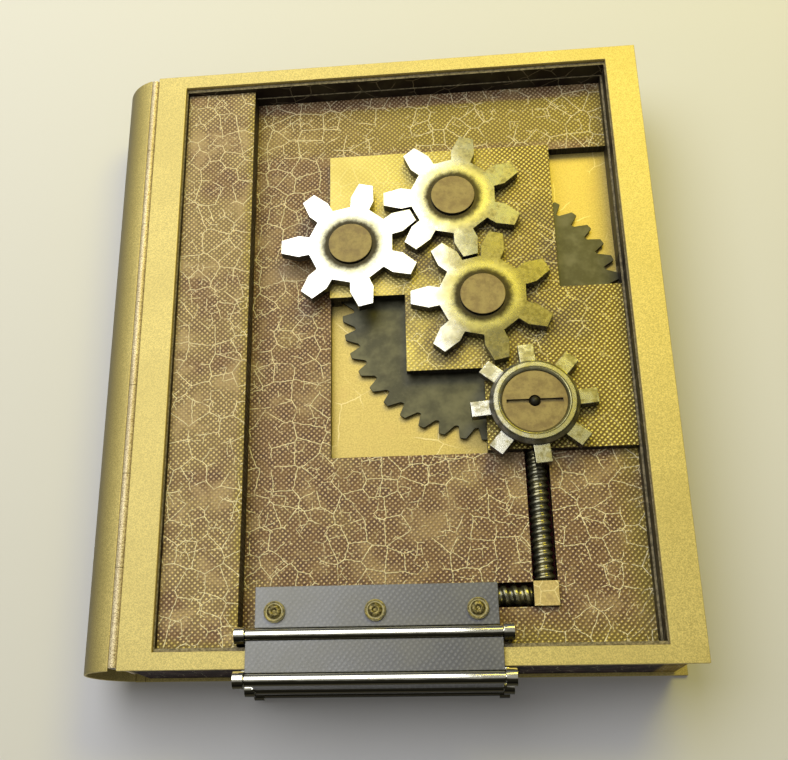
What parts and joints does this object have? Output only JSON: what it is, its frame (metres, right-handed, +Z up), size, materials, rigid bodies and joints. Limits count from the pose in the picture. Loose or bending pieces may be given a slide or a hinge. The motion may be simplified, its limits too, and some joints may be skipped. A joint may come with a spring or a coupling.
{
  "type": "mechanical book puzzle box",
  "caption": "Book-shaped puzzle box: a geared cover with a dial that drives a lock bolt by screw shafts, a piano-hinged lid over a hidden tray, and a jointed strap clasp.",
  "frame": {"origin": "centre of the back cover's flat underside, in line with the middle of the front cover", "axes": "+Z up through the front cover, +Y along the spine towards the head, +X from the spine towards the fore edge"},
  "size_m": [0.2115, 0.2497, 0.0409],
  "materials": {
    "brass_sheet": "satin, fine-grained",
    "dark_brass": "aged, matt",
    "embossed_leather": "gilded, crackled",
    "dark_leather": "crackled",
    "gilded_plate": "embossed, crackled",
    "moulding": "dark, crackled",
    "polished_nickel": "polished, stained",
    "gunmetal": "dark, oiled",
    "pewter": "pebbled",
    "chrome_rod": "polished",
    "felt": "short pile",
    "magnet": "satin"
  },
  "bodies": {
    "case": {"back_cover": "brass_sheet", "back_panel": "embossed_leather", "case_floor": "felt", "spine_board": "dark_leather", "fore_board": "dark_leather", "head_board": "dark_leather", "tail_board": "dark_leather", "spine_shell": "brass_sheet", "spine_ribs": "dark_leather", "hinge_case_leaf": "dark_brass", "hinge_pin": "gunmetal", "lock_keeper": "gunmetal", "keeper_screws": "dark_brass", "catch_block": "dark_brass", "catch_magnets": "magnet"},
    "cover": {"cover_frame": "brass_sheet", "cover_moulding": "moulding", "cover_liner": "felt", "floor_spacer": "dark_leather", "floor_plate": "gilded_plate", "side_strip": "embossed_leather", "main_panel": "embossed_leather", "mechanism_plate": "gilded_plate", "corner_block": "gilded_plate", "shaft_bearing": "dark_brass", "hinge_cover_leaf": "brass_sheet", "axle_post_a": "gunmetal", "axle_cap_a": "dark_brass", "axle_post_b": "gunmetal", "axle_cap_b": "dark_brass", "dial_stud": "gunmetal", "clasp_pad": "dark_leather", "clasp_bracket": "chrome_rod", "clasp_leaf": "pewter", "clasp_screws": "dark_brass", "clasp_pin_1": "chrome_rod"},
    "gear_a": {"gear_a": "polished_nickel"},
    "gear_b": {"gear_b": "polished_nickel"},
    "gear_c_and_wheel": {"gear_c": "polished_nickel", "wheel_arbor": "gunmetal", "axle_cap_c": "dark_brass", "index_wheel": "gunmetal"},
    "dial": {"dial_gear": "polished_nickel", "dial_ring": "polished_nickel", "dial_disc": "dark_brass", "dial_pegs": "gunmetal"},
    "drive_shaft": {"drive_screw": "gunmetal", "drive_pinion": "gunmetal", "drive_bevel": "gunmetal"},
    "lead_shaft": {"lead_screw": "gunmetal", "lead_bevel": "gunmetal"},
    "bolt": {"lock_bolt": "gunmetal"},
    "clasp_link": {"link_plate": "pewter", "link_collars": "chrome_rod", "clasp_pin_2": "chrome_rod"},
    "clasp_upper": {"upper_flap": "pewter", "upper_collars": "chrome_rod", "clasp_pin_3": "chrome_rod"},
    "clasp_lower": {"lower_flap": "pewter"}
  },
  "joints": [
    {"name": "cover_hinge", "type": "hinge", "parent": "case", "child": "cover", "pos_m": [-0.0992, 0, 0.0353], "axis": [0, -1, 0], "range_deg": [0, 100]},
    {"name": "dial_turn", "type": "hinge", "parent": "cover", "child": "dial", "pos_m": [0.04841, -0.02866, 0.03], "axis": [0, 0, 1], "range_deg": [0, 432]},
    {"name": "gear_c_turn", "type": "hinge", "parent": "cover", "child": "gear_c_and_wheel", "pos_m": [0.0321, 0.0152, 0.03], "axis": [0, 0, 1], "range_deg": [-500, 0]},
    {"name": "gear_b_turn", "type": "hinge", "parent": "cover", "child": "gear_b", "pos_m": [0.02259, 0.05867, 0.03], "axis": [0, 0, 1], "range_deg": [0, 500]},
    {"name": "gear_a_turn", "type": "hinge", "parent": "cover", "child": "gear_a", "pos_m": [-0.01768, 0.03972, 0.03], "axis": [0, 0, 1], "range_deg": [-500, 0]},
    {"name": "drive_shaft_turn", "type": "hinge", "parent": "cover", "child": "drive_shaft", "pos_m": [0.04841, -0.0712, 0.0216], "axis": [0, 1, 0], "range_deg": [0, 1080]},
    {"name": "lead_shaft_turn", "type": "hinge", "parent": "cover", "child": "lead_shaft", "pos_m": [0.0325, -0.096, 0.0216], "axis": [1, 0, 0], "range_deg": [0, 1080]},
    {"name": "bolt_slide", "type": "slide", "parent": "cover", "child": "bolt", "axis": [-1, 0, 0], "range_m": [0, 0.0082]},
    {"name": "clasp_lift", "type": "hinge", "parent": "cover", "child": "clasp_link", "pos_m": [-0.0105, -0.11025, 0.038], "axis": [-1, 0, 0], "range_deg": [0, 130]},
    {"name": "clasp_upper_swing", "type": "hinge", "parent": "clasp_link", "child": "clasp_upper", "pos_m": [-0.0105, -0.1249, 0.038], "axis": [-1, 0, 0], "range_deg": [0, 120]},
    {"name": "clasp_lower_swing", "type": "hinge", "parent": "clasp_upper", "child": "clasp_lower", "pos_m": [-0.0105, -0.1255, 0.0165], "axis": [-1, 0, 0], "range_deg": [0, 60]}
  ],
  "couplings": [
    {"joint": "gear_c_turn", "follows": "dial_turn", "ratio": -1.1429},
    {"joint": "gear_b_turn", "follows": "dial_turn", "ratio": 1.1429},
    {"joint": "gear_a_turn", "follows": "dial_turn", "ratio": -1.1429},
    {"joint": "drive_shaft_turn", "follows": "dial_turn", "ratio": 2.5},
    {"joint": "lead_shaft_turn", "follows": "dial_turn", "ratio": 2.5},
    {"joint": "bolt_slide", "follows": "dial_turn", "m_per_rad": 0.0010743}
  ]
}
